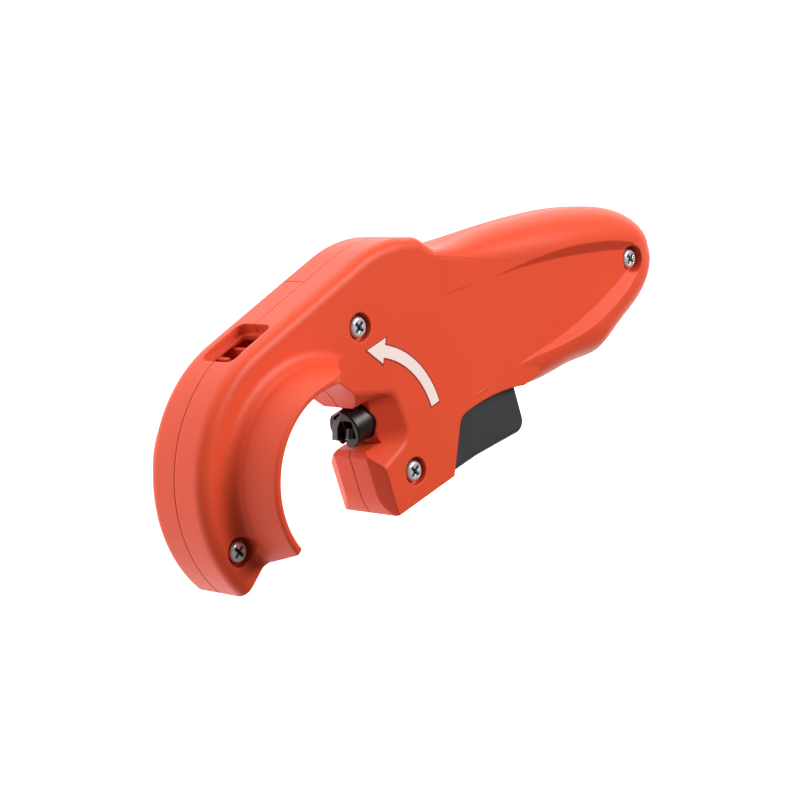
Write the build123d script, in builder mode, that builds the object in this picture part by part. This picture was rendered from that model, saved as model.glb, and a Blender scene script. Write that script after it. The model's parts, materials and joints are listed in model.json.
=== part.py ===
"""Squeeze-trigger pipe cutter for 50 mm plastic drain pipe, as an assembly.

Frame: the origin is on the pipe's axis, at the middle of the tool's thickness.
+X runs along the handle towards the butt, the trigger and the mouth of the hook
are on the -Y side, and +Z points out of the marked face. Millimetres throughout.
"""
from build123d import *
import math
import os

os.makedirs("parts", exist_ok=True)

# ------------------------------------------------------------------ pipe and hook
PIPE_D = 50.0            # outside diameter of the drain pipe
PIPE_CLEAR = 0.2         # radial room between pipe and seat
SEAT_R = PIPE_D / 2 + PIPE_CLEAR
HOOK_R = 40.4            # outside of the hook
HALF_T = 11.0            # half thickness of hook and head
COLLAR_Z = 25.2          # reach of the guide collar from the middle plane
COLLAR_BASE_R = 29.3
COLLAR_RIM_R = 27.5
COVE_R = 4.0             # concave fillet between collar and face
EDGE_R = 3.4             # rounding of the outer edges
PARTING = 0.1            # half the gap between the two shells
WALL = 2.7
END_DEG = 209.8          # angle of the hook's end
LIP_DEG = 202.4          # the collar's lip stops short of it

# ------------------------------------------------------------------ head and jaw
JAW_X = 23.0             # proud face of the jaw
JAW_TOP = -6.8
JAW_BOTTOM = -27.0
SLOT_HALF = 6.8          # half height of the plunger slot
SLOT_X = 30.2            # its closed end
DISH_Z = HALF_T - 5.4    # where the dish round the plunger's end begins
DISH_RIM_Z = HALF_T + 1.2  # drawn a little above the face

PANEL_DRAFT = 52.0       # slope of the walls round the sunken panel
DISH_ROUND = 2.0

# ------------------------------------------------------------------ window
WINDOW = (17.4, 13.2)
WINDOW_DEG = 96.0
WINDOW_Z = 0.6
SILL = 1.4

# ------------------------------------------------------------------ trigger
TRAVEL = 10.0            # along its inclined track
TRACK_DEG = 59.0         # slope of the track, the same as the edge of the head
TRIG_HALF = 8.0
TRIG_WALL = 1.4
TRIG_CLEAR = 0.4
TRIG_REAR = 87.4
TRIG_LOW = -29.8
PIN_X = 60.0             # drive pin through plunger and trigger
PIN_R = 2.0

# ------------------------------------------------------------------ plunger
PLUNGER_R = 5.7
RUN = 0.06               # radial running clearance
PLUNGER_FRONT = 23.8
PLUNGER_REAR = 76.0
BUSH_R = 7.7
FLANGE_R = 8.8
BUSH_X = (34.6, 49.6)
ROD_R = 2.5
SLEEVE_R = 4.0
SEAT_X = (106.0, 109.0)  # spring seat plate
WIRE_R = 0.6
SPRING_R = 4.1           # mean radius of the coils

# ------------------------------------------------------------------ screws
SCREWS = [(30.8, 29.1), (35.9, -18.3), (-32.5, -7.6), (149.4, -0.4)]
HEAD_R = 2.9
RECESS_R = 4.15
RECESS_Z = HALF_T - 2.3
SHANK_R = 1.45
INSERT_R = 2.4
BOSS_R = 5.6

# handle stations: x, top, bottom, half thickness, corner radius
HANDLE = [
    (66.0, 37.6, -12.2, 11.0, 3.4),
    (78.0, 34.4, -13.0, 11.05, 5.2),
    (90.0, 32.8, -17.4, 11.15, 8.2),
    (104.0, 30.5, -20.6, 12.2, 10.2),
    (116.0, 28.0, -21.6, 13.2, 11.2),
    (127.0, 25.3, -23.2, 13.6, 11.4),
    (138.0, 21.9, -20.2, 13.5, 11.4),
    (149.0, 17.4, -17.2, 12.8, 10.8),
    (157.0, 12.4, -13.6, 11.2, 9.4),
    (162.0, 7.4, -9.2, 8.6, 7.0),
    (164.6, 2.2, -4.4, 2.8, 2.4),
]


def polar(radius, degrees):
    return (radius * math.cos(math.radians(degrees)),
            radius * math.sin(math.radians(degrees)))


TRACK = (math.cos(math.radians(TRACK_DEG)), math.sin(math.radians(TRACK_DEG)))
HEAD_EDGE = (50.0, JAW_BOTTOM)   # the inclined edge of the head starts here


def along(start, length, side=0.0):
    """A point along the track from start, shifted to its left by side."""
    return (start[0] + TRACK[0] * length - TRACK[1] * side,
            start[1] + TRACK[1] * length + TRACK[0] * side)


def track_at(y, side=0.0):
    """The point at height y on the head's inclined edge, shifted left by side."""
    start = along(HEAD_EDGE, 0.0, side)
    return along(start, (y - start[1]) / TRACK[1])


def yz_plane(x):
    return Plane(origin=(x, 0, 0), x_dir=(0, 1, 0), z_dir=(1, 0, 0))


def handle_loft(inset, first, last):
    """The handle's body, or its hollow when inset is a wall."""
    with BuildPart() as body:
        for x, top, bottom, half, corner in HANDLE[first:last]:
            if inset > 0:
                half = min(half, HALF_T)
                corner = min(corner, half - 0.3)
            with BuildSketch(yz_plane(x)):
                with Locations(((top + bottom) / 2, 0)):
                    RectangleRounded(
                        top - bottom - 2 * inset,
                        2 * (half - inset),
                        max(corner - inset, 0.8),
                    )
        loft()
    return body.part


# ------------------------------------------------------------------ one plain half
SLOT_DEG = math.degrees(math.asin(SLOT_HALF / SEAT_R))
TANGENT_DEG = 98.7       # where the straight top leaves the hook's circle
top_start = polar(HOOK_R, TANGENT_DEG)
top_slope = math.tan(math.radians(TANGENT_DEG - 90))
top_end = (38.0, top_start[1] + (38.0 - top_start[0]) * top_slope)

with BuildPart() as blank:
    with BuildSketch(Plane.XY.offset(PARTING)) as head_face:
        with BuildLine() as head_line:
            Line(polar(HOOK_R, END_DEG), polar(SEAT_R, END_DEG))
            ThreePointArc(polar(SEAT_R, END_DEG), polar(SEAT_R, 110), polar(SEAT_R, SLOT_DEG))
            Polyline(
                polar(SEAT_R, SLOT_DEG),
                (SLOT_X, SLOT_HALF),
                (SLOT_X, JAW_TOP),
                (JAW_X + 1.0, JAW_TOP),
                (JAW_X, JAW_TOP - 1.5),
                (JAW_X, -19.5),
            )
            TangentArc((JAW_X, -19.5), (JAW_X + 1.6, JAW_BOTTOM), tangent=(0, -1))
            Polyline(
                (JAW_X + 1.6, JAW_BOTTOM),
                HEAD_EDGE,
                track_at(-14.2),
            )
            TangentArc(track_at(-14.2), (61.6, -11.9), tangent=TRACK)
            ThreePointArc((61.6, -11.9), (75.0, -12.5), (88.0, -15.6))
            Polyline((88.0, -15.6), (96.0, -15.6), (96.0, 22.0), (71.4, 33.6), (62.8, 42.9))
            TangentArc(top_end, (55.4, 45.7), tangent=(1.0, top_slope))
            Line((55.4, 45.7), (62.8, 42.9))
            Line(top_start, top_end)
            ThreePointArc(top_start, polar(HOOK_R, 155), polar(HOOK_R, END_DEG))
        make_face()
    extrude(amount=HALF_T - PARTING)
    neck_corner = [e for e in blank.edges().filter_by(Axis.Z)
                   if abs((e @ 0.5).X - 62.8) < 0.1 and (e @ 0.5).Y > 40]
    fillet(neck_corner, 6.0)
    outer = []
    for e in blank.edges():
        m = e @ 0.5
        if abs(m.Z - HALF_T) > 0.01 or m.X > 70:
            continue
        if math.hypot(m.X, m.Y) > HOOK_R - 2.5 and (m.X < -20 or m.Y > 34):
            outer.append(e)
    fillet(outer, EDGE_R)


# the raised half sleeve that keeps the pipe square to the cutter
RAMP_FROM = 84.0         # angle where its top starts to fall
RAMP_RUN = 19.0          # and how far along the ramp it meets the face
RAMP_SLOPE = math.radians(-20)
ramp_dir = (math.cos(RAMP_SLOPE), math.sin(RAMP_SLOPE), 0)
START_DEG = 36.0

with BuildPart() as collar:
    a = math.radians(START_DEG)
    profile_plane = Plane(
        origin=(0, 0, 0),
        x_dir=(math.cos(a), math.sin(a), 0),
        z_dir=(math.sin(a), -math.cos(a), 0),
    )
    with BuildSketch(profile_plane):
        with BuildLine():
            Polyline(
                (COLLAR_BASE_R + COVE_R, HALF_T),
                (COLLAR_BASE_R + COVE_R, HALF_T - 1.5),
                (SEAT_R, HALF_T - 1.5),
                (SEAT_R, COLLAR_Z - 0.5),
                (SEAT_R + 0.5, COLLAR_Z),
                (COLLAR_RIM_R - 1.0, COLLAR_Z),
            )
            TangentArc(
                (COLLAR_RIM_R - 1.0, COLLAR_Z), (COLLAR_RIM_R, COLLAR_Z - 1.0),
                tangent=(1, 0),
            )
            Line((COLLAR_RIM_R, COLLAR_Z - 1.0), (COLLAR_BASE_R, HALF_T + COVE_R))
            RadiusArc(
                (COLLAR_BASE_R, HALF_T + COVE_R), (COLLAR_BASE_R + COVE_R, HALF_T),
                -COVE_R,
            )
        make_face()
    revolve(axis=Axis.Z, revolution_arc=END_DEG + 6 - START_DEG)
    # its top end sinks into the face along a smooth curve
    ramp_plane = Plane(
        origin=(*polar(SEAT_R, RAMP_FROM), 0),
        x_dir=ramp_dir,
        z_dir=(-ramp_dir[1], ramp_dir[0], 0),
    )
    ramp_side = 1 if ramp_plane.y_dir.Z > 0 else -1
    with BuildSketch(ramp_plane):
        with BuildLine():
            Spline(
                (0, ramp_side * COLLAR_Z), (RAMP_RUN, ramp_side * (HALF_T - 0.02)),
                tangents=((1, 0), (1, 0)),
                tangent_scalars=(1.0, 1.0),
            )
            Polyline(
                (RAMP_RUN, ramp_side * (HALF_T - 0.02)),
                (60, ramp_side * (HALF_T - 0.02)),
                (60, ramp_side * 40),
                (0, ramp_side * 40),
                (0, ramp_side * COLLAR_Z),
            )
        make_face()
    extrude(amount=60, both=True, mode=Mode.SUBTRACT)
    # the lip at its other end leans towards the face
    lip = polar(SEAT_R, LIP_DEG)
    out = math.radians(END_DEG)
    lip_plane = Plane(
        origin=(*lip, COLLAR_Z),
        x_dir=(math.cos(out), math.sin(out), 0),
        z_dir=(-math.sin(out), math.cos(out), 0.20),
    )
    with Locations(lip_plane):
        Box(90, 90, 30, align=(Align.CENTER, Align.CENTER, Align.MIN), mode=Mode.SUBTRACT)

chamber = [
    track_at(-24.0, 3.0), track_at(-13.6, 3.0), (51.5, -13.6), (51.5, 13.0),
    (56.0, 30.0), (66.0, 33.0), (93.4, 24.0), (93.4, -26.0), track_at(-24.0, -2.0),
]

with BuildPart() as half:
    add(blank.part)
    add(handle_loft(0.0, 0, len(HANDLE)))
    with Locations((60, 0, PARTING)):
        Box(300, 140, 60, align=(Align.CENTER, Align.CENTER, Align.MAX), mode=Mode.SUBTRACT)
    # sunken panel on the side of the handle
    with BuildSketch(Plane.XY.offset(HALF_T)):
        with BuildLine():
            Polyline((96.0, -8.8), (58.0, -8.8), (58.0, 25.0), (96.0, 18.6))
            ThreePointArc((96.0, 18.6), (122.0, 12.2), (147.0, 3.8))
            ThreePointArc((147.0, 3.8), (150.4, 0.0), (147.0, -3.0))
            ThreePointArc((147.0, -3.0), (122.0, -8.0), (96.0, -8.8))
        make_face()
    extrude(amount=4, taper=-PANEL_DRAFT, mode=Mode.SUBTRACT)
    add(collar.part)
    # dish that opens the end of the plunger to the outside
    with BuildSketch(Plane.XY.offset(DISH_Z)) as dish_floor:
        Polygon((14.0, SLOT_HALF), (SLOT_X, SLOT_HALF), (SLOT_X, JAW_TOP), (14.0, JAW_TOP),
                align=None)
        fillet(dish_floor.vertices().group_by(Axis.X)[-1], 2.5)
    with BuildSketch(Plane.XY.offset(DISH_RIM_Z)) as dish_rim:
        Polygon((12.0, 19.6), (38.4, 6.0), (39.6, -8.6), (12.0, -17.6), align=None)
        fillet(dish_rim.vertices().group_by(Axis.X)[-1], 5.0)
        fillet(dish_rim.vertices().group_by(Axis.X)[-2], 5.0)
    loft(sections=[dish_floor.sketch, dish_rim.sketch], ruled=True, mode=Mode.SUBTRACT)
    dish_edge = [e for e in half.edges()
                 if abs((e @ 0).Z - HALF_T) < 0.01 and abs((e @ 1).Z - HALF_T) < 0.01
                 and 26 < (e @ 0.5).X < 40 and abs((e @ 0.5).Y) < 14]
    fillet(dish_edge, DISH_ROUND)
    # bevel of the jaw's face
    with BuildSketch(Plane.XZ.offset(-JAW_TOP)):
        Polygon((JAW_X - 1, 6.5), (JAW_X, 6.5), (JAW_X + 2.2, HALF_T + 0.1),
                (JAW_X - 1, HALF_T + 0.1), align=None)
    extrude(amount=JAW_TOP - JAW_BOTTOM + 1, mode=Mode.SUBTRACT)
    # hollow of the hook, and the window through its back
    with BuildSketch(Plane.XY.offset(PARTING)):
        with BuildLine():
            Line(polar(28.2, 72), polar(37.2, 72))
            ThreePointArc(polar(37.2, 72), polar(37.2, 120), polar(37.2, 178))
            Line(polar(37.2, 178), polar(28.2, 178))
            ThreePointArc(polar(28.2, 178), polar(28.2, 120), polar(28.2, 72))
        make_face()
    extrude(amount=8.0, mode=Mode.SUBTRACT)
    # chamber for the trigger and the hollow of the handle
    with BuildSketch(Plane.XY.offset(PARTING)):
        Polygon(*chamber, align=None)
    extrude(amount=8.4 - PARTING, mode=Mode.SUBTRACT)
    add(handle_loft(WALL, 1, len(HANDLE) - 3), mode=Mode.SUBTRACT)
    # bosses, and the block that holds the spring seat
    with BuildSketch(Plane.XY.offset(PARTING)):
        with Locations(SCREWS[3]):
            Circle(BOSS_R)
        with Locations((118.0, 15.0)):
            Circle(3.6)
        with Locations((108.6, 0)):
            Rectangle(10.8, 22)
    extrude(amount=HALF_T - 1.6)
    with Locations(Location((SLOT_X - 1, 0, 0), (0, 90, 0))):
        Cylinder(PLUNGER_R + 0.35, 30, align=(Align.CENTER, Align.CENTER, Align.MIN),
                 mode=Mode.SUBTRACT)
    with Locations(Location((BUSH_X[0] - 0.1, 0, 0), (0, 90, 0))):
        Cylinder(BUSH_R + 0.05, 30, align=(Align.CENTER, Align.CENTER, Align.MIN),
                 mode=Mode.SUBTRACT)
    with Locations(Location((47.5, 0, 0), (0, 90, 0))):
        Cylinder(FLANGE_R + 0.1, 4.5, align=(Align.CENTER, Align.CENTER, Align.MIN),
                 mode=Mode.SUBTRACT)
    with Locations(Location((102.0, 0, 0), (0, 90, 0))):
        Cylinder(5.6, 5.0, align=(Align.CENTER, Align.CENTER, Align.MIN), mode=Mode.SUBTRACT)
    with Locations(Location((108.0, 0, 0), (0, 90, 0))):
        Cylinder(4.4, 3.4, align=(Align.CENTER, Align.CENTER, Align.MIN), mode=Mode.SUBTRACT)
    with Locations(((SEAT_X[0] + SEAT_X[1]) / 2, 0, 0)):
        Box(SEAT_X[1] - SEAT_X[0] + 0.1, 18.4, 17.4, mode=Mode.SUBTRACT)
    # inclined groove that the trigger's tongue slides in
    with BuildSketch(Plane.XY.offset(8.0)):
        Polygon(track_at(-22.8, 0.2), track_at(-22.8, 2.4), track_at(-5.0, 2.4),
                track_at(-5.0, 0.2), align=None)
    extrude(amount=1.6, mode=Mode.SUBTRACT)


def cut_window():
    """The inspection window through the back of the hook: a rounded sill, then the opening."""
    radial = polar(1.0, WINDOW_DEG)
    sill = Plane(
        origin=(*polar(HOOK_R - 2.4, WINDOW_DEG), WINDOW_Z),
        x_dir=(-radial[1], radial[0], 0),
        z_dir=(*radial, 0),
    )
    with BuildSketch(sill) as outer_edge:
        RectangleRounded(*WINDOW, 2.8)
    extrude(outer_edge.sketch, amount=6, mode=Mode.SUBTRACT)
    with BuildSketch(sill) as opening:
        RectangleRounded(WINDOW[0] - 2 * SILL, WINDOW[1] - 2 * SILL, 1.6)
    extrude(opening.sketch, amount=-5, mode=Mode.SUBTRACT)


# ------------------------------------------------------------------ the two shells
DOWELS = [(13.0, 34.2), (29.6, -22.4), (118.0, 15.0)]
DOWEL_R = 1.5

with BuildPart() as front_shell:
    add(half.part)
    with BuildSketch(Plane.XY.offset(RECESS_Z)):
        with Locations(*SCREWS):
            Circle(RECESS_R)
    extrude(amount=12, mode=Mode.SUBTRACT)
    with BuildSketch(Plane.XY):
        with Locations(*SCREWS):
            Circle(SHANK_R + 0.25)
    extrude(amount=12, mode=Mode.SUBTRACT)
    with BuildSketch(Plane.XY):
        with Locations(*DOWELS):
            Circle(DOWEL_R + 0.03)
    extrude(amount=5.3, mode=Mode.SUBTRACT)
    cut_window()
front_shell.part.label = "front_shell"
export_step(front_shell.part, "parts/front_shell.step")

with BuildPart() as rear_shell:
    add(mirror(half.part, about=Plane.XY))
    with BuildSketch(Plane.XY):
        with Locations(*SCREWS):
            Circle(INSERT_R + 0.03)
    extrude(amount=-7.6, mode=Mode.SUBTRACT)
    with BuildSketch(Plane.XY):
        with Locations(*DOWELS):
            Circle(DOWEL_R + 0.03)
    extrude(amount=-5.3, mode=Mode.SUBTRACT)
    cut_window()
    # seam left by the mould across the top
    with Locations((25.4, 45.6, 0)):
        Box(0.3, 3.2, 24, mode=Mode.SUBTRACT)
    # ribs behind the window
    with Locations((-7.4, 28.0, -0.6), (-1.0, 28.0, -0.6)):
        Box(1.3, 8.6, 7.8, align=(Align.CENTER, Align.MIN, Align.MAX))
rear_shell.part.label = "rear_shell"
export_step(rear_shell.part, "parts/rear_shell.step")

with BuildPart() as housing_screws:
    with Locations(*[(x, y, RECESS_Z + 0.02) for x, y in SCREWS]):
        Cylinder(HEAD_R, 2.1, align=(Align.CENTER, Align.CENTER, Align.MIN))
    heads = housing_screws.edges().filter_by(GeomType.CIRCLE).group_by(Axis.Z)[-1]
    fillet(heads, 0.9)
    with Locations(*[(x, y, RECESS_Z + 0.1) for x, y in SCREWS]):
        Cylinder(SHANK_R, 14.9, align=(Align.CENTER, Align.CENTER, Align.MAX))
    for x, y in SCREWS:
        with Locations(Location((x, y, RECESS_Z + 0.7), (0, 0, 30)),
                       Location((x, y, RECESS_Z + 0.7), (0, 0, 120))):
            Box(3.9, 1.05, 2, align=(Align.CENTER, Align.CENTER, Align.MIN), mode=Mode.SUBTRACT)
housing_screws.part.label = "housing_screws"
export_step(housing_screws.part, "parts/housing_screws.step")

with BuildPart() as screw_inserts:
    with BuildSketch(Plane.XY.offset(-0.3)):
        with Locations(*SCREWS):
            Circle(INSERT_R)
        with Locations(*SCREWS):
            Circle(SHANK_R + 0.03, mode=Mode.SUBTRACT)
    extrude(amount=-7.0)
screw_inserts.part.label = "screw_inserts"
export_step(screw_inserts.part, "parts/screw_inserts.step")

with BuildPart() as shell_dowels:
    with Locations(*[(x, y, 0) for x, y in DOWELS]):
        Cylinder(DOWEL_R, 10.0)
    chamfer(shell_dowels.edges().filter_by(GeomType.CIRCLE), 0.3)
shell_dowels.part.label = "shell_dowels"
export_step(shell_dowels.part, "parts/shell_dowels.step")

# ------------------------------------------------------------------ trigger
with BuildPart() as trigger:
    with BuildSketch(Plane.XY.offset(-TRIG_HALF)):
        with BuildLine():
            start = track_at(-27.8, -TRIG_CLEAR)
            Polyline(
                start,
                track_at(-23.6, -TRIG_CLEAR),
                track_at(-23.6, 2.6),
                track_at(-14.5, 2.6),
                (TRIG_REAR, -14.5),
                (TRIG_REAR, -26.0),
            )
            TangentArc((TRIG_REAR, -26.0), (83.4, TRIG_LOW), tangent=(0, -1))
            ThreePointArc((83.4, TRIG_LOW), (74.0, -28.9), (64.0, -28.0))
            Line((64.0, -28.0), start)
        make_face()
    extrude(amount=2 * TRIG_HALF)
    soft = []
    for e in trigger.edges():
        m = e @ 0.5
        if abs(abs(m.Z) - TRIG_HALF) < 0.01 and (m.X > TRIG_REAR - 4.5 or m.Y < -27.0):
            if m.Y < -15:
                soft.append(e)
    fillet(soft, 1.6)
    for side in (-1, 1):
        wall_z = side * (TRIG_HALF - TRIG_WALL / 2)
        with Locations(((58.0 + TRIG_REAR) / 2, -14.6, wall_z)):
            Box(TRIG_REAR - 58.0, 7.1, TRIG_WALL, align=(Align.CENTER, Align.MIN, Align.CENTER))
        with Locations((PIN_X, -14.6, wall_z)):
            Box(7.0, 19.8, TRIG_WALL, align=(Align.CENTER, Align.MIN, Align.CENTER))
        tongue_plane = Plane.XY.offset(TRIG_HALF - 0.1 if side > 0 else -TRIG_HALF - 1.1)
        with BuildSketch(tongue_plane):
            Polygon(track_at(-22.2, 0.5), track_at(-22.2, 2.1), track_at(-15.0, 2.1),
                    track_at(-15.0, 0.5), align=None)
        extrude(amount=1.2)
    rise = TRAVEL * TRACK[1]
    with BuildSketch(Plane.XY.offset(-10)):
        with Locations((PIN_X, -rise / 2)):
            SlotCenterToCenter(rise + 0.3, 2 * (PIN_R + 0.1), rotation=90)
    extrude(amount=20, mode=Mode.SUBTRACT)
trigger.part.label = "trigger"
export_step(trigger.part, "parts/trigger.step")


# ------------------------------------------------------------------ plunger group
def along_x(x, radius, length):
    """A cylinder on the tool's axis that starts at x."""
    with Locations(Location((x, 0, 0), (0, 90, 0))):
        Cylinder(radius, length, align=(Align.CENTER, Align.CENTER, Align.MIN))


def bore_x(x, radius, length):
    with Locations(Location((x, 0, 0), (0, 90, 0))):
        Cylinder(radius, length, align=(Align.CENTER, Align.CENTER, Align.MIN),
                 mode=Mode.SUBTRACT)


CLIP_X = 50.9
with BuildPart() as plunger:
    along_x(PLUNGER_FRONT, PLUNGER_R, PLUNGER_REAR - PLUNGER_FRONT)
    ends = plunger.edges().filter_by(GeomType.CIRCLE)
    chamfer(ends, 0.4)
    with Locations((PLUNGER_FRONT - 1, 3.9, 0)):
        Box(8.6, 4, 8, align=(Align.MIN, Align.MIN, Align.MAX), mode=Mode.SUBTRACT)
    with Locations((PLUNGER_FRONT - 1, 0, -1.6)):
        Box(10.8, 14, 2.2, align=(Align.MIN, Align.CENTER, Align.CENTER), mode=Mode.SUBTRACT)
    with Locations((PLUNGER_FRONT - 1, 0.1, 2.3)):
        Box(7.2, 5.4, 3.4, align=(Align.MIN, Align.CENTER, Align.CENTER), mode=Mode.SUBTRACT)
    with BuildSketch(Plane.XY.offset(-6)):
        with Locations((30.0, 0)):
            Circle(1.55)
    extrude(amount=4, mode=Mode.SUBTRACT)
    with BuildSketch(Plane.XY.offset(-9)):
        with Locations((PIN_X, 0)):
            Circle(PIN_R + 0.02)
    extrude(amount=18, mode=Mode.SUBTRACT)
    with BuildSketch(yz_plane(CLIP_X - 0.05)):
        Circle(7)
        Circle(5.1, mode=Mode.SUBTRACT)
    extrude(amount=1.1, mode=Mode.SUBTRACT)
    bore_x(63.6, SLEEVE_R + 0.02, 20)
plunger.part.label = "plunger"
export_step(plunger.part, "parts/plunger.step")

with BuildPart() as drive_pin:
    with BuildSketch(Plane.XY.offset(-TRIG_HALF + 0.1)):
        with Locations((PIN_X, 0)):
            Circle(PIN_R)
    extrude(amount=2 * TRIG_HALF - 0.2)
    chamfer(drive_pin.edges().filter_by(GeomType.CIRCLE), 0.4)
drive_pin.part.label = "drive_pin"
export_step(drive_pin.part, "parts/drive_pin.step")

with BuildPart() as plunger_circlip:
    with BuildSketch(yz_plane(CLIP_X)):
        Circle(6.9)
        Circle(5.15, mode=Mode.SUBTRACT)
        with Locations((0, 6.0)):
            Rectangle(2.6, 3.4, mode=Mode.SUBTRACT)
    extrude(amount=1.0)
plunger_circlip.part.label = "plunger_circlip"
export_step(plunger_circlip.part, "parts/plunger_circlip.step")

with BuildPart() as parting_blade:
    with BuildSketch(Plane.XY.offset(-2.65)):
        Polygon((33.4, 3.5), (24.6, 3.5), (22.2, 1.4), (20.8, -1.9), (23.4, -3.6),
                (33.4, -3.6), align=None)
    extrude(amount=2.1)
parting_blade.part.label = "parting_blade"
export_step(parting_blade.part, "parts/parting_blade.step")

with BuildPart() as bevel_blade:
    with BuildSketch(Plane.XY.offset(0.8)):
        Polygon((29.8, 0.4), (23.9, 0.4), (22.5, -2.4), (29.8, -2.4), align=None)
    extrude(amount=2.2)
    chamfer(bevel_blade.faces().sort_by(Axis.Z)[-1].edges().sort_by(Axis.X)[0], 0.9)
bevel_blade.part.label = "bevel_blade"
export_step(bevel_blade.part, "parts/bevel_blade.step")

with BuildPart() as blade_grub_screw:
    with BuildSketch(Plane.XY.offset(-5.0)):
        with Locations((30.0, 0)):
            Circle(1.5)
            RegularPolygon(0.75, 6, mode=Mode.SUBTRACT)
    extrude(amount=1.4)
    with BuildSketch(Plane.XY.offset(-3.6)):
        with Locations((30.0, 0)):
            Circle(1.5)
    extrude(amount=0.9)
blade_grub_screw.part.label = "blade_grub_screw"
export_step(blade_grub_screw.part, "parts/blade_grub_screw.step")

with BuildPart() as rod_sleeve:
    along_x(63.8, SLEEVE_R, PLUNGER_REAR - 63.8)
    bore_x(63.0, ROD_R + RUN, 20)
rod_sleeve.part.label = "rod_sleeve"
export_step(rod_sleeve.part, "parts/rod_sleeve.step")

with BuildPart() as spring_follower:
    along_x(PLUNGER_REAR + 0.03, 5.0, 1.0)
    bore_x(PLUNGER_REAR - 1, ROD_R + 0.3, 4)
spring_follower.part.label = "spring_follower"
export_step(spring_follower.part, "parts/spring_follower.step")

# ------------------------------------------------------------------ fixed metal parts
with BuildPart() as guide_bush:
    along_x(BUSH_X[0], BUSH_R, BUSH_X[1] - BUSH_X[0])
    along_x(BUSH_X[1] - 2.0, FLANGE_R, 2.0)
    bore_x(BUSH_X[0] - 1, PLUNGER_R + RUN, 20)
guide_bush.part.label = "guide_bush"
export_step(guide_bush.part, "parts/guide_bush.step")

with BuildPart() as stop_bumper:
    along_x(BUSH_X[1] + 0.03, 7.6, 1.2)
    bore_x(BUSH_X[1] - 1, PLUNGER_R + 0.3, 4)
stop_bumper.part.label = "stop_bumper"
export_step(stop_bumper.part, "parts/stop_bumper.step")

with BuildPart() as spring_seat:
    with Locations(((SEAT_X[0] + SEAT_X[1]) / 2, 0, 0)):
        Box(SEAT_X[1] - SEAT_X[0], 18.0, 17.0)
    chamfer(spring_seat.edges().filter_by(Axis.X), 1.5)
    bore_x(SEAT_X[0] - 1, ROD_R + 0.03, 6)
spring_seat.part.label = "spring_seat"
export_step(spring_seat.part, "parts/spring_seat.step")

with BuildPart() as guide_rod:
    along_x(69.5, ROD_R, SEAT_X[1] + 0.05 - 69.5)
    chamfer(guide_rod.edges().filter_by(GeomType.CIRCLE).sort_by(Axis.X)[0], 0.5)
    along_x(SEAT_X[1] + 0.03, 4.0, 2.0)
guide_rod.part.label = "guide_rod"
export_step(guide_rod.part, "parts/guide_rod.step")

coil_start = PLUNGER_REAR + 1.1 + WIRE_R
coil_end = SEAT_X[0] - 0.1 - WIRE_R
with BuildPart() as main_spring:
    with BuildLine() as coil:
        Helix(pitch=(coil_end - coil_start) / 10, height=coil_end - coil_start, radius=SPRING_R,
              center=(coil_start, 0, 0), direction=(1, 0, 0))
    wire_start = coil.line @ 0
    with BuildSketch(Plane(origin=wire_start, z_dir=coil.line % 0)):
        Circle(WIRE_R)
    sweep(path=coil.line, is_frenet=True)
main_spring.part.label = "main_spring"
export_step(main_spring.part, "parts/main_spring.step")
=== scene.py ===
"""Squeeze-trigger pipe cutter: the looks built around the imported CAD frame.

Metres, in the CAD frame: the pipe's axis is the origin, +X runs to the butt of the
handle, +Z points out of the marked face.
"""

import json
import math

import bmesh
import bpy
from mathutils import Matrix, Vector
from mathutils.bvhtree import BVHTree


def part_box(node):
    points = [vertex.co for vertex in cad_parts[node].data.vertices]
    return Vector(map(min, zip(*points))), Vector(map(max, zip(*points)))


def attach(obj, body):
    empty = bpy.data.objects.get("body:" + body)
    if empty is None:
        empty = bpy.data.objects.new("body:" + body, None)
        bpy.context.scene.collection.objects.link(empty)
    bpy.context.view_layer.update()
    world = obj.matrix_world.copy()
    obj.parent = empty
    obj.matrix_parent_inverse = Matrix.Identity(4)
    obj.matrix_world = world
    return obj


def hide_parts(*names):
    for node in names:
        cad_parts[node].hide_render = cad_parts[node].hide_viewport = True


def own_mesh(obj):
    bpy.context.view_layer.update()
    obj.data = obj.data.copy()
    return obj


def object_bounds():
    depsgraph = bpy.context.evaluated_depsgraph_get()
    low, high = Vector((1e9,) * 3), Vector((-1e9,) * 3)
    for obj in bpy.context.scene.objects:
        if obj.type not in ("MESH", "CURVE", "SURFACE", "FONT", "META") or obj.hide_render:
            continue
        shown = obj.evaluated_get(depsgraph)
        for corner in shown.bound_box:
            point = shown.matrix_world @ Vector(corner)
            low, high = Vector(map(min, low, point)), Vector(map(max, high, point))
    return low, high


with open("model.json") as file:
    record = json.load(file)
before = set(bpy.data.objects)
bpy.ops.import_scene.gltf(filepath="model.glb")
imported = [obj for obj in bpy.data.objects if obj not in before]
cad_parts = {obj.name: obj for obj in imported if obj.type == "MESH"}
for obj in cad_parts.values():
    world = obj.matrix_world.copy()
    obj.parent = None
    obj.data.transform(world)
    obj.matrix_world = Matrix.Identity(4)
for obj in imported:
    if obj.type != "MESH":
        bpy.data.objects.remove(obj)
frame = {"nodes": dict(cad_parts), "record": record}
CAD_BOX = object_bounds()
NODES = frame["nodes"]
MM = 0.001
FACE_Z = 11.0  # the marked face, in millimetres
PRINT_HEIGHT = 0.06  # how far the white stands off the face
PRINT_DEPTH = 0.05  # how far a print is sunk into the face
LAMP_DISTANCE = 0.9
TOOL_MIDDLE = (45, 5, 0)  # in millimetres, where the lamps point


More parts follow.
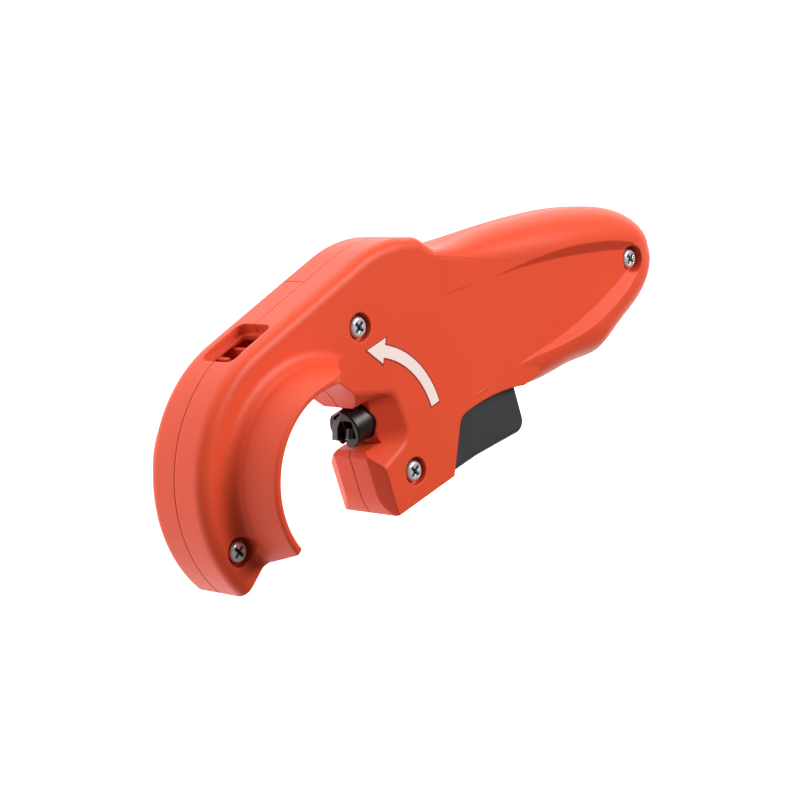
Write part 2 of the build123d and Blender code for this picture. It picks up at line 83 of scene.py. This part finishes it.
# ------------------------------------------------------------------ camera and light
def place_camera():
    """The three-quarter view from the hook's end; returns its axes for the lights."""
    forward = Vector((0.6318, -0.3493, -0.6920)).normalized()
    up = Vector((0.4313, 0.9002, -0.0605))
    right = forward.cross(up).normalized()
    up = right.cross(forward)
    data = bpy.data.cameras.new("three_quarter")
    data.lens = 97.2
    data.sensor_width = 36.0
    data.clip_start = 0.02
    data.clip_end = 50.0
    camera = bpy.data.objects.new("three_quarter", data)
    bpy.context.scene.collection.objects.link(camera)
    turn = Matrix((right, up, -forward)).transposed().to_4x4()
    camera.matrix_world = Matrix.Translation(Vector((-348.5, 217.0, 433.9)) * MM) @ turn
    bpy.context.scene.camera = camera
    return right, up, -forward


RIGHT, UP, TOWARDS = place_camera()


def softbox(name, direction, size, power):
    """A square studio light that faces the middle of the tool."""
    direction = direction.normalized()
    data = bpy.data.lights.new(name, "AREA")
    data.shape = "SQUARE"
    data.size = size
    data.energy = power
    lamp = bpy.data.objects.new(name, data)
    lamp.location = Vector(TOOL_MIDDLE) * MM + direction * LAMP_DISTANCE
    lamp.rotation_mode = "QUATERNION"
    lamp.rotation_quaternion = direction.to_track_quat("Z", "Y")
    bpy.context.scene.collection.objects.link(lamp)


softbox("right_softbox", RIGHT * 0.72 + UP * 0.44 + TOWARDS * 0.38, 0.50, 8.9)
softbox("top_softbox", UP * 0.95 + TOWARDS * 0.2 - RIGHT * 0.2, 0.70, 4.2)
softbox("left_softbox", -RIGHT * 0.88 + TOWARDS * 0.25 + UP * 0.08, 0.50, 5.8)


def light_the_room():
    world = bpy.data.worlds.new("studio")
    world.use_nodes = True
    background = world.node_tree.nodes["Background"]
    background.inputs["Color"].default_value = (1.0, 1.0, 1.0, 1.0)
    background.inputs["Strength"].default_value = 0.14
    bpy.context.scene.world = world
    bpy.context.scene.view_settings.view_transform = "Standard"


light_the_room()


# ------------------------------------------------------------------ shader building blocks
def new_group(name, inputs, outputs):
    """An empty shader group with float inputs {name: default} and outputs {name: type}."""
    group = bpy.data.node_groups.new(name, "ShaderNodeTree")
    for label, default in inputs.items():
        kind = "NodeSocketFloat" if isinstance(default, float) else "NodeSocketColor"
        socket = group.interface.new_socket(label, in_out="INPUT", socket_type=kind)
        socket.default_value = default
    for label, kind in outputs.items():
        group.interface.new_socket(label, in_out="OUTPUT", socket_type=kind)
    return group, group.nodes.new("NodeGroupInput"), group.nodes.new("NodeGroupOutput")


def math_node(tree, operation, a, b=None, clamp=False):
    node = tree.nodes.new("ShaderNodeMath")
    node.operation = operation
    node.use_clamp = clamp
    for index, value in enumerate((a, b)):
        if value is None:
            continue
        if isinstance(value, (int, float)):
            node.inputs[index].default_value = value
        else:
            tree.links.new(value, node.inputs[index])
    return node.outputs[0]


def noise_node(tree, vector, scale, detail=2.0, roughness=0.5):
    node = tree.nodes.new("ShaderNodeTexNoise")
    node.inputs["Detail"].default_value = detail
    node.inputs["Roughness"].default_value = roughness
    tree.links.new(vector, node.inputs["Vector"])
    if isinstance(scale, (int, float)):
        node.inputs["Scale"].default_value = scale
    else:
        tree.links.new(scale, node.inputs["Scale"])
    return node.outputs["Fac"]


def mix_colours(tree, factor, first, second, blend="MIX"):
    node = tree.nodes.new("ShaderNodeMix")
    node.data_type = "RGBA"
    node.blend_type = blend
    sockets = (node.inputs[0], node.inputs[6], node.inputs[7])
    for socket, value in zip(sockets, (factor, first, second)):
        if isinstance(value, float):
            socket.default_value = value
        elif isinstance(value, tuple):
            socket.default_value = (*value, 1.0)
        else:
            tree.links.new(value, socket)
    return node.outputs[2]


def make_moulded_grain():
    """Spark-eroded grain of a mould, with slight sink marks under it."""
    group, given, result = new_group(
        "moulded_grain",
        {"Grain Size": 2400.0, "Sink": 0.35},
        {"Height": "NodeSocketFloat", "Speckle": "NodeSocketFloat"},
    )
    place = group.nodes.new("ShaderNodeTexCoord").outputs["Object"]
    fine = noise_node(group, place, given.outputs["Grain Size"], 2.0)
    broad = noise_node(group, place, 70.0, 1.0)
    sunk = math_node(group, "MULTIPLY", broad, given.outputs["Sink"])
    group.links.new(math_node(group, "ADD", fine, sunk), result.inputs["Height"])
    group.links.new(fine, result.inputs["Speckle"])
    return group


def make_edge_wear_and_highlight():
    """Mask of the edges that hands and pipes rub, also used for a painted highlight along
    convex edges, and the normal rounded over them.
    """
    group, given, result = new_group(
        "edge_wear_and_highlight",
        # the Wear input sets how strongly edges lighten, for real rubbing and for a painted
        # highlight alike
        {"Radius": 0.0006, "Wear": 2.0},
        {"Mask": "NodeSocketFloat", "Normal": "NodeSocketVector"},
    )
    bevel = group.nodes.new("ShaderNodeBevel")
    bevel.samples = 6
    group.links.new(given.outputs["Radius"], bevel.inputs["Radius"])
    geometry = group.nodes.new("ShaderNodeNewGeometry")
    dot = group.nodes.new("ShaderNodeVectorMath")
    dot.operation = "DOT_PRODUCT"
    group.links.new(bevel.outputs["Normal"], dot.inputs[0])
    group.links.new(geometry.outputs["Normal"], dot.inputs[1])
    turned = math_node(group, "SUBTRACT", 1.0, dot.outputs["Value"])
    place = group.nodes.new("ShaderNodeTexCoord").outputs["Object"]
    broken = noise_node(group, place, 900.0, 3.0, 0.6)
    strength = math_node(group, "MULTIPLY", given.outputs["Wear"], broken)
    mask = math_node(group, "MULTIPLY", turned, strength, clamp=True)
    group.links.new(mask, result.inputs["Mask"])
    group.links.new(bevel.outputs["Normal"], result.inputs["Normal"])
    return group


def make_tone_drift():
    """Slow change of tone over a moulding or a plated part."""
    group, given, result = new_group(
        "tone_drift",
        {"Scale": 30.0, "Dark": (0.5, 0.5, 0.5, 1.0), "Pale": (0.6, 0.6, 0.6, 1.0)},
        {"Color": "NodeSocketColor", "Cloud": "NodeSocketFloat"},
    )
    place = group.nodes.new("ShaderNodeTexCoord").outputs["Object"]
    cloud = noise_node(group, place, given.outputs["Scale"], 3.0, 0.55)
    colour = mix_colours(group, cloud, given.outputs["Dark"], given.outputs["Pale"])
    group.links.new(colour, result.inputs["Color"])
    group.links.new(cloud, result.inputs["Cloud"])
    return group


def make_turning_marks():
    """Fine rings that a lathe leaves across a part that lies along X."""
    group, given, result = new_group(
        "turning_marks",
        {"Pitch": 3500.0},
        {"Height": "NodeSocketFloat"},
    )
    place = group.nodes.new("ShaderNodeTexCoord").outputs["Object"]
    stretch = group.nodes.new("ShaderNodeMapping")
    stretch.inputs["Scale"].default_value = (1.0, 0.02, 0.02)
    group.links.new(place, stretch.inputs["Vector"])
    rings = noise_node(group, stretch.outputs["Vector"], given.outputs["Pitch"], 1.0)
    group.links.new(rings, result.inputs["Height"])
    return group


MOULDED_GRAIN = make_moulded_grain()
EDGE_WEAR_AND_HIGHLIGHT = make_edge_wear_and_highlight()
TONE_DRIFT = make_tone_drift()
TURNING_MARKS = make_turning_marks()


def use_group(tree, group, **values):
    """A copy of a group in a material; keyword names use _ for a space."""
    node = tree.nodes.new("ShaderNodeGroup")
    node.node_tree = group
    for label, value in values.items():
        socket = node.inputs[label.replace("_", " ")]
        socket.default_value = value if isinstance(value, float) else (*value, 1.0)
    return node


def range_node(tree, value, low, high):
    node = tree.nodes.new("ShaderNodeMapRange")
    tree.links.new(value, node.inputs["Value"])
    node.inputs["To Min"].default_value = low
    node.inputs["To Max"].default_value = high
    return node.outputs["Result"]


def paint_recess_shade(tree, colour, deep, proud):
    """Painted shade in the bottom of a driver recess, by height along Z."""
    place = tree.nodes.new("ShaderNodeTexCoord").outputs["Object"]
    split = tree.nodes.new("ShaderNodeSeparateXYZ")
    tree.links.new(place, split.inputs["Vector"])
    height = tree.nodes.new("ShaderNodeMapRange")
    height.inputs["From Min"].default_value = deep * MM
    height.inputs["From Max"].default_value = proud * MM
    tree.links.new(split.outputs["Z"], height.inputs["Value"])
    # near-black blue-grey at the floor: painted shade
    return mix_colours(tree, height.outputs["Result"], (0.035, 0.05, 0.06), colour)


RELIEF_DEPTH = 0.00004


def make_finish(name, dark, pale, worn_lit_edge, roughness, relief, relief_group, drift=30.0,
                metallic=0.0, edge=0.0006, wear_and_highlight=2.0, recess=None, **shader_values):
    """A material: drifting base colour, edges lightened partly by rubbing and partly as a
    painted highlight, uneven gloss and a fine relief.

    roughness is its lowest and highest value, relief the strength of the bump, and
    recess the two heights in millimetres between which a tool recess turns dark with painted
    shade.
    """
    material = bpy.data.materials.new(name)
    material.use_nodes = True
    tree = material.node_tree
    shader = tree.nodes["Principled BSDF"]
    shader.inputs["Metallic"].default_value = metallic
    for label, value in shader_values.items():
        shader.inputs[label.replace("_", " ")].default_value = value
    tone = use_group(tree, TONE_DRIFT, Scale=drift, Dark=dark, Pale=pale)
    edges = use_group(tree, EDGE_WEAR_AND_HIGHLIGHT, Radius=edge, Wear=wear_and_highlight)
    # edges mix towards the paler edge colour: partly rubbing, partly painted highlight
    colour = mix_colours(tree, edges.outputs["Mask"], tone.outputs["Color"], worn_lit_edge)
    if recess:
        colour = paint_recess_shade(tree, colour, *recess)
    tree.links.new(colour, shader.inputs["Base Color"])
    gloss = range_node(tree, tone.outputs["Cloud"], *roughness)
    tree.links.new(gloss, shader.inputs["Roughness"])
    texture = use_group(tree, relief_group)
    bump = tree.nodes.new("ShaderNodeBump")
    bump.inputs["Strength"].default_value = relief
    bump.inputs["Distance"].default_value = RELIEF_DEPTH
    tree.links.new(texture.outputs["Height"], bump.inputs["Height"])
    tree.links.new(edges.outputs["Normal"], bump.inputs["Normal"])
    tree.links.new(bump.outputs["Normal"], shader.inputs["Normal"])
    return material


CROSS_HEIGHTS = (FACE_Z - 1.4, FACE_Z - 0.8)  # floor and upper edge of the screws' cross, where the painted shade is darkest and where it ends

# the third colour of each finish is its edge colour: partly rubbing, partly painted highlight
FINISHES = {
    "shell_plastic": make_finish(
        "orange_moulding", (0.71, 0.068, 0.024), (0.77, 0.082, 0.031), (0.90, 0.20, 0.11),
        (0.36, 0.46), 0.5, MOULDED_GRAIN, drift=22.0, wear_and_highlight=0.9, edge=0.0007,
        Specular_IOR_Level=0.24,
    ),
    "trigger_plastic": make_finish(
        "charcoal_moulding", (0.024, 0.025, 0.028), (0.038, 0.039, 0.043), (0.13, 0.13, 0.135),
        (0.42, 0.56), 0.9, MOULDED_GRAIN, drift=60.0, wear_and_highlight=1.2,
    ),
    "zinc_steel": make_finish(
        "plated_screw", (0.74, 0.75, 0.78), (0.92, 0.92, 0.93), (1.0, 1.0, 1.0),
        (0.14, 0.26), 0.3, TURNING_MARKS, drift=500.0, metallic=0.55, edge=0.0003,
        recess=CROSS_HEIGHTS,
    ),
    "insert_brass": make_finish(
        "brass_insert", (0.58, 0.38, 0.13), (0.72, 0.50, 0.20), (0.86, 0.68, 0.34),
        (0.24, 0.36), 0.4, TURNING_MARKS, drift=300.0, metallic=1.0, edge=0.0002,
    ),
    "bright_steel": make_finish(
        "ground_steel", (0.52, 0.52, 0.53), (0.66, 0.66, 0.67), (0.85, 0.85, 0.86),
        (0.20, 0.32), 0.5, TURNING_MARKS, drift=200.0, metallic=1.0, edge=0.0002,
    ),
    "black_steel": make_finish(
        "blackened_steel", (0.012, 0.011, 0.010), (0.040, 0.033, 0.026), (0.22, 0.21, 0.20),
        (0.24, 0.40), 0.6, TURNING_MARKS, drift=240.0, metallic=0.6, edge=0.00025,
    ),
    "blade_steel": make_finish(
        "blade_steel", (0.055, 0.052, 0.050), (0.12, 0.115, 0.11), (0.62, 0.61, 0.60),
        (0.20, 0.34), 0.4, TURNING_MARKS, drift=300.0, metallic=0.9, edge=0.0003, wear_and_highlight=3.0,
    ),
    "spring_steel": make_finish(
        "spring_wire", (0.36, 0.36, 0.37), (0.48, 0.48, 0.50), (0.7, 0.7, 0.7),
        (0.26, 0.38), 0.3, TURNING_MARKS, drift=300.0, metallic=1.0, edge=0.0001,
    ),
    "bush_bronze": make_finish(
        "oiled_bronze", (0.36, 0.19, 0.075), (0.46, 0.26, 0.11), (0.62, 0.40, 0.20),
        (0.30, 0.42), 0.5, TURNING_MARKS, drift=200.0, metallic=1.0, edge=0.0002,
    ),
    "bumper_rubber": make_finish(
        "black_rubber", (0.018, 0.018, 0.018), (0.030, 0.030, 0.030), (0.07, 0.07, 0.07),
        (0.62, 0.74), 0.9, MOULDED_GRAIN, drift=120.0,
    ),
}
INK = make_finish(
    "printed_white", (0.90, 0.71, 0.65), (0.95, 0.79, 0.74), (0.95, 0.79, 0.74),
    (0.40, 0.52), 0.3, MOULDED_GRAIN, drift=120.0, edge=0.0001, wear_and_highlight=0.0,
)
# dark-red rim just outside the white arrow: painted shade along the print's edge
INK_SHADOW = make_finish(
    "print_edge_painted_shade", (0.26, 0.015, 0.008), (0.32, 0.020, 0.010), (0.32, 0.020, 0.010),
    (0.42, 0.52), 0.3, MOULDED_GRAIN, drift=120.0, edge=0.0001, wear_and_highlight=0.0,
)


def finish_cad_nodes():
    """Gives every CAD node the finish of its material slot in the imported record."""
    slot_of = {row["node"]: row["material_slot"] for row in frame["record"]["subparts"]}
    for name, node in NODES.items():
        node.data.materials.clear()
        node.data.materials.append(FINISHES[slot_of[name]])


finish_cad_nodes()


# ------------------------------------------------------------------ helpers for new pieces
def add_piece(name, mesh, body, material):
    piece = bpy.data.objects.new(name, mesh)
    bpy.context.scene.collection.objects.link(piece)
    mesh.materials.clear()
    mesh.materials.append(material)
    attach(piece, body)
    return piece


def top_surface(name):
    """Search tree over a CAD node's mesh, to find its height at a point."""
    mesh = NODES[name].data
    return BVHTree.FromPolygons(
        [v.co.copy() for v in mesh.vertices], [tuple(p.vertices) for p in mesh.polygons]
    )


def print_mesh(name, outlines, surface, height, cell=1.6):
    """Thin plates from outlines in millimetres, laid over a surface seen from +Z."""
    bm = bmesh.new()
    for outline in outlines:
        bm.faces.new([bm.verts.new((x * MM, y * MM, 0.0)) for x, y in outline])
    for axis in (0, 1):
        places = [v.co[axis] for v in bm.verts]
        low, high = min(places), max(places)
        normal = Vector((1.0, 0.0, 0.0)) if axis == 0 else Vector((0.0, 1.0, 0.0))
        for i in range(1, math.ceil((high - low) / (cell * MM))):
            bmesh.ops.bisect_plane(
                bm, geom=bm.verts[:] + bm.edges[:] + bm.faces[:], dist=1e-7,
                plane_co=normal * (low + i * cell * MM), plane_no=normal,
            )
    flat = bm.faces[:]
    lower = bmesh.ops.duplicate(bm, geom=flat)
    lower_faces = [g for g in lower["geom"] if isinstance(g, bmesh.types.BMFace)]
    roof = {v for face in flat for v in face.verts}
    for vert in bm.verts:
        above = Vector((vert.co.x, vert.co.y, 0.05))
        hit = surface.ray_cast(above, Vector((0.0, 0.0, -1.0)))[0]
        vert.co.z = hit.z + (height if vert in roof else -PRINT_DEPTH) * MM
    twin = {}
    for vert in (v for face in lower_faces for v in face.verts):
        twin[(round(vert.co.x, 8), round(vert.co.y, 8))] = vert
    rims = [e for e in bm.edges if e.is_boundary and e.verts[0] in roof]
    for edge in rims:
        a, b = edge.verts
        below_a = twin[(round(a.co.x, 8), round(a.co.y, 8))]
        below_b = twin[(round(b.co.x, 8), round(b.co.y, 8))]
        bm.faces.new((a, b, below_b, below_a))
    bmesh.ops.recalc_face_normals(bm, faces=bm.faces)
    bmesh.ops.triangulate(bm, faces=bm.faces)
    mesh = bpy.data.meshes.new(name)
    bm.to_mesh(mesh)
    bm.free()
    return mesh


def on_circle(centre, radius, degrees):
    angle = math.radians(degrees)
    return centre[0] + radius * math.cos(angle), centre[1] + radius * math.sin(angle)


# ------------------------------------------------------------------ printed marks
ARROW_CENTRE = (23.5, -4.4)
ARROW_RADII = (25.2, 28.7)
ARROW_HEAD_RADII = (23.5, 30.8)
ARROW_TIP = (27.4, 74.4)
ARROW_ANGLES = (1.4, 60.0)
ARROW_MIDDLE_RADIUS = 27.0
PAINTED_SHADE_WIDTH = 0.42


def arrow_outline(grow):
    """The curved arrow that shows which way to turn the cutter round the pipe."""
    inner, outer = ARROW_RADII
    turn = math.degrees(grow / ARROW_MIDDLE_RADIUS)
    start, neck = ARROW_ANGLES[0] - turn, ARROW_ANGLES[1] - turn
    steps = 28
    band = [start + (neck - start) * i / steps for i in range(steps + 1)]
    points = [on_circle(ARROW_CENTRE, outer + grow, a) for a in band]
    points.append(on_circle(ARROW_CENTRE, ARROW_HEAD_RADII[1] + 1.5 * grow, neck))
    points.append(on_circle(ARROW_CENTRE, ARROW_TIP[0], ARROW_TIP[1] + 2.0 * turn))
    points.append(on_circle(ARROW_CENTRE, ARROW_HEAD_RADII[0] - 1.5 * grow, neck))
    points += [on_circle(ARROW_CENTRE, inner - grow, a) for a in reversed(band)]
    return points


def add_prints():
    surface = top_surface("front_shell")
    layers = (
        # the first layer is the painted shade rim, a little wider than the white
        ("painted_shade", PAINTED_SHADE_WIDTH, 0.4 * PRINT_HEIGHT, INK_SHADOW),
        ("white", 0.0, PRINT_HEIGHT, INK),
    )
    for layer, grow, height, material in layers:
        arrow = print_mesh("turning_arrow", [arrow_outline(grow)], surface, height)
        add_piece("turning_arrow_" + layer, arrow, "housing", material)


add_prints()


# ------------------------------------------------------------------ return spring
def spring_tree(material):
    """Geometry Nodes: a round wire wound along X, with its sizes as inputs."""
    tree = bpy.data.node_groups.new("wound_spring", "GeometryNodeTree")
    sockets = {}
    for label, kind, default in (
        ("Start", "NodeSocketFloat", 0.07), ("Length", "NodeSocketFloat", 0.03),
        ("Coil Radius", "NodeSocketFloat", 0.004), ("Wire Radius", "NodeSocketFloat", 0.0006),
        ("Turns", "NodeSocketFloat", 10.0),
    ):
        socket = tree.interface.new_socket(label, in_out="INPUT", socket_type=kind)
        socket.default_value = default
        sockets[label] = socket.identifier
    tree.interface.new_socket("Geometry", in_out="OUTPUT", socket_type="NodeSocketGeometry")
    given = tree.nodes.new("NodeGroupInput")
    result = tree.nodes.new("NodeGroupOutput")
    spiral = tree.nodes.new("GeometryNodeCurveSpiral")
    spiral.inputs["Resolution"].default_value = 36
    wire = tree.nodes.new("GeometryNodeCurvePrimitiveCircle")
    wire.inputs["Resolution"].default_value = 12
    sweep = tree.nodes.new("GeometryNodeCurveToMesh")
    sweep.inputs["Fill Caps"].default_value = True
    lay = tree.nodes.new("GeometryNodeTransform")
    lay.inputs["Rotation"].default_value = (0.0, math.pi / 2, 0.0)
    offset = tree.nodes.new("ShaderNodeCombineXYZ")
    smooth = tree.nodes.new("GeometryNodeSetShadeSmooth")
    realize = tree.nodes.new("GeometryNodeRealizeInstances")
    coat = tree.nodes.new("GeometryNodeSetMaterial")
    coat.inputs["Material"].default_value = material
    link = tree.links.new
    link(given.outputs["Turns"], spiral.inputs["Rotations"])
    link(given.outputs["Coil Radius"], spiral.inputs["Start Radius"])
    link(given.outputs["Coil Radius"], spiral.inputs["End Radius"])
    link(given.outputs["Length"], spiral.inputs["Height"])
    link(given.outputs["Wire Radius"], wire.inputs["Radius"])
    link(spiral.outputs["Curve"], sweep.inputs["Curve"])
    link(wire.outputs["Curve"], sweep.inputs["Profile Curve"])
    link(sweep.outputs["Mesh"], lay.inputs["Geometry"])
    link(given.outputs["Start"], offset.inputs["X"])
    link(offset.outputs["Vector"], lay.inputs["Translation"])
    link(lay.outputs["Geometry"], smooth.inputs["Geometry"])
    link(smooth.outputs["Geometry"], realize.inputs["Geometry"])
    link(realize.outputs["Geometry"], coat.inputs["Geometry"])
    link(coat.outputs["Geometry"], result.inputs["Geometry"])
    return tree, sockets


def grown_mesh(name, tree, sockets, values):
    """Runs a Geometry Nodes tree with these inputs and returns a plain mesh."""
    seed = bpy.data.meshes.new(name + "_seed")
    holder = bpy.data.objects.new(name + "_seed", seed)
    bpy.context.scene.collection.objects.link(holder)
    modifier = holder.modifiers.new("grow", "NODES")
    modifier.node_group = tree
    for label, value in values.items():
        modifier[sockets[label]] = value
    bpy.context.view_layer.update()
    evaluated = holder.evaluated_get(bpy.context.evaluated_depsgraph_get())
    mesh = bpy.data.meshes.new_from_object(evaluated)
    mesh.name = name
    holder.modifiers.remove(modifier)
    bpy.data.objects.remove(holder)
    return mesh


SPRING_WIRE = 0.6 * MM
SPRING_TURNS = 10.0


def add_return_spring():
    low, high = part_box("main_spring")
    tree, sockets = spring_tree(FINISHES["spring_steel"])
    length = high.x - low.x - 2.0 * SPRING_WIRE
    mesh = grown_mesh("return_spring", tree, sockets, {
        "Start": low.x + SPRING_WIRE, "Length": length, "Turns": SPRING_TURNS,
        "Coil Radius": (high.y - low.y) / 2 - SPRING_WIRE, "Wire Radius": SPRING_WIRE,
    })
    piece = add_piece("return_spring", mesh, "housing", FINISHES["spring_steel"])
    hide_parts("main_spring")
    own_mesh(piece)


add_return_spring()


# ------------------------------------------------------------------ floor
def make_floor():
    half = 3.0
    z = CAD_BOX[0].z - 0.0002
    mesh = bpy.data.meshes.new("floor")
    mesh.from_pydata(
        [(-half, -half, z), (half, -half, z), (half, half, z), (-half, half, z)],
        [], [(0, 1, 2, 3)],
    )
    floor = bpy.data.objects.new("floor", mesh)
    bpy.context.scene.collection.objects.link(floor)
    material = bpy.data.materials.new("pale_floor")
    material.use_nodes = True
    shader = material.node_tree.nodes["Principled BSDF"]
    shader.inputs["Base Color"].default_value = (0.35, 0.35, 0.35, 1)
    shader.inputs["Roughness"].default_value = 0.9
    shader.inputs["Emission Color"].default_value = (1, 1, 1, 1)
    shader.inputs["Emission Strength"].default_value = 1.45
    mesh.materials.append(material)


make_floor()
